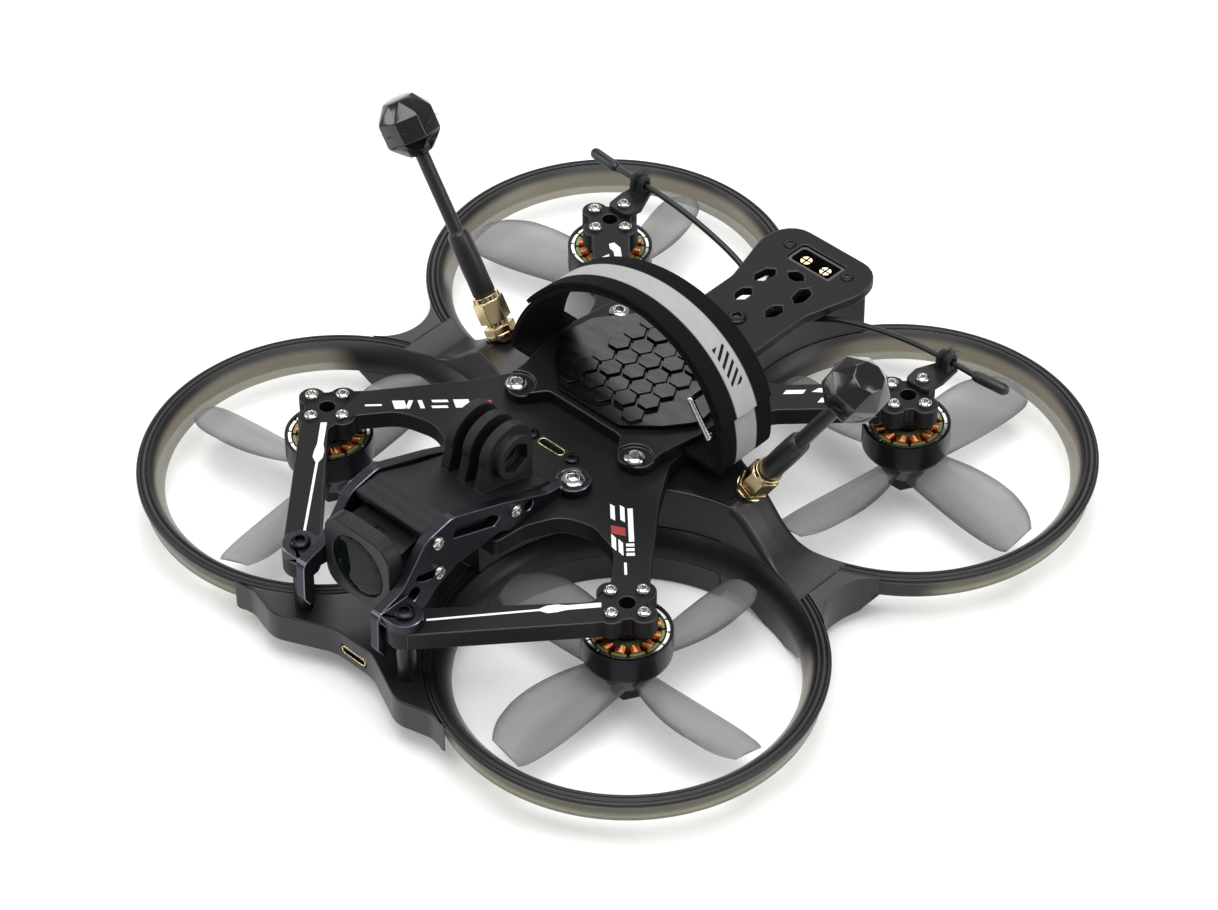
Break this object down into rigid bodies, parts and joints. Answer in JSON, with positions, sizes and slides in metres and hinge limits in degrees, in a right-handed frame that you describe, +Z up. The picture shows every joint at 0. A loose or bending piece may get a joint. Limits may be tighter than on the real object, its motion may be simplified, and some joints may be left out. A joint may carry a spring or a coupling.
{
  "type": "fpv racing drone",
  "caption": "Ducted camera drone with an X frame, caged tilting camera, battery strap, pusher propellers inside ring ducts and two leaning antennas.",
  "frame": {"origin": "on the ground under the middle of the four motors, at the centre of the bounding box base", "axes": "-Y to the drone's front, +X to its own left, +Z up along the motor shafts"},
  "size_m": [0.2212, 0.2212, 0.0964],
  "materials": {
    "duct_plastic": "satin translucent smoke",
    "body_plastic": "satin moulded",
    "arm_plate": "matte carbon laminate",
    "cage_metal": "anodised, bright chamfers",
    "post_metal": "black anodised",
    "cover_plastic": "printed flexible plastic",
    "camera_plastic": "satin",
    "lens_glass": "coated",
    "steel": "polished",
    "black_steel": "black oxide",
    "bell_metal": "black anodised",
    "magnet": "nickel plated",
    "stator_steel": "coated laminations",
    "copper": "enamelled wire",
    "prop_plastic": "smoky translucent",
    "pad_rubber": "matte",
    "strap_fabric": "woven, reflective stripe",
    "socket_plastic": "moulded",
    "gold": "gold plated",
    "antenna_plastic": "gloss",
    "lead_jacket": "heat shrink",
    "led_strip": "translucent",
    "circuit_board": "solder mask"
  },
  "bodies": {
    "airframe": {"duct_front_left": "duct_plastic", "duct_front_right": "duct_plastic", "duct_rear_left": "duct_plastic", "duct_rear_right": "duct_plastic", "front_bumper": "body_plastic", "side_bridges": "body_plastic", "body_tub": "body_plastic", "body_cover": "body_plastic", "led_strips": "led_strip", "front_arm_plate": "arm_plate", "rear_arm_plate": "arm_plate", "battery_plate": "arm_plate", "rear_plate": "arm_plate", "battery_pad": "pad_rubber", "battery_strap": "strap_fabric", "strap_buckle": "steel", "power_socket": "socket_plastic", "power_pins": "gold", "cage_plates": "cage_metal", "front_posts": "post_metal", "camera_cover": "cover_plastic", "steel_screws": "steel", "black_screws": "black_steel", "motor_screws": "steel", "motor_bases": "bell_metal", "motor_bearings": "steel", "motor_stators": "stator_steel", "motor_windings": "copper", "antenna_sockets": "gold", "receiver_antennas": "lead_jacket", "receiver_clamps": "cover_plastic", "speed_controller": "circuit_board", "flight_controller": "circuit_board", "video_transmitter": "cage_metal", "capacitor": "socket_plastic", "stack_screws": "black_steel"},
    "rotor_front_left": {"bell_front_left": "bell_metal", "magnets_front_left": "magnet", "propeller_front_left": "prop_plastic", "nut_front_left": "black_steel"},
    "rotor_front_right": {"bell_front_right": "bell_metal", "magnets_front_right": "magnet", "propeller_front_right": "prop_plastic", "nut_front_right": "black_steel"},
    "rotor_rear_left": {"bell_rear_left": "bell_metal", "magnets_rear_left": "magnet", "propeller_rear_left": "prop_plastic", "nut_rear_left": "black_steel"},
    "rotor_rear_right": {"bell_rear_right": "bell_metal", "magnets_rear_right": "magnet", "propeller_rear_right": "prop_plastic", "nut_rear_right": "black_steel"},
    "camera": {"camera_body": "camera_plastic", "camera_bezel": "camera_plastic", "camera_glass": "lens_glass", "camera_screws": "steel"},
    "antenna_left": {"antenna_left": "antenna_plastic", "antenna_nut_left": "gold"},
    "antenna_right": {"antenna_right": "antenna_plastic", "antenna_nut_right": "gold"}
  },
  "joints": [
    {"name": "rotor_spin_front_left", "type": "hinge", "parent": "airframe", "child": "rotor_front_left", "pos_m": [0.05657, -0.05657, 0.02], "axis": [0, 0, 1], "continuous": true},
    {"name": "rotor_spin_front_right", "type": "hinge", "parent": "airframe", "child": "rotor_front_right", "pos_m": [-0.05657, -0.05657, 0.02], "axis": [0, 0, 1], "continuous": true},
    {"name": "rotor_spin_rear_left", "type": "hinge", "parent": "airframe", "child": "rotor_rear_left", "pos_m": [0.05657, 0.05657, 0.02], "axis": [0, 0, 1], "continuous": true},
    {"name": "rotor_spin_rear_right", "type": "hinge", "parent": "airframe", "child": "rotor_rear_right", "pos_m": [-0.05657, 0.05657, 0.02], "axis": [0, 0, 1], "continuous": true},
    {"name": "camera_tilt", "type": "hinge", "parent": "airframe", "child": "camera", "pos_m": [0, -0.085, 0.0504], "axis": [-1, 0, 0], "range_deg": [0, 35]},
    {"name": "antenna_turn_left", "type": "hinge", "parent": "airframe", "child": "antenna_left", "pos_m": [0.0468, 0.0023, 0.031], "axis": [0.5299, 0, 0.848], "range_deg": [-180, 180]},
    {"name": "antenna_turn_right", "type": "hinge", "parent": "airframe", "child": "antenna_right", "pos_m": [-0.0468, 0.0023, 0.031], "axis": [-0.5299, 0, 0.848], "range_deg": [-180, 180]}
  ]
}
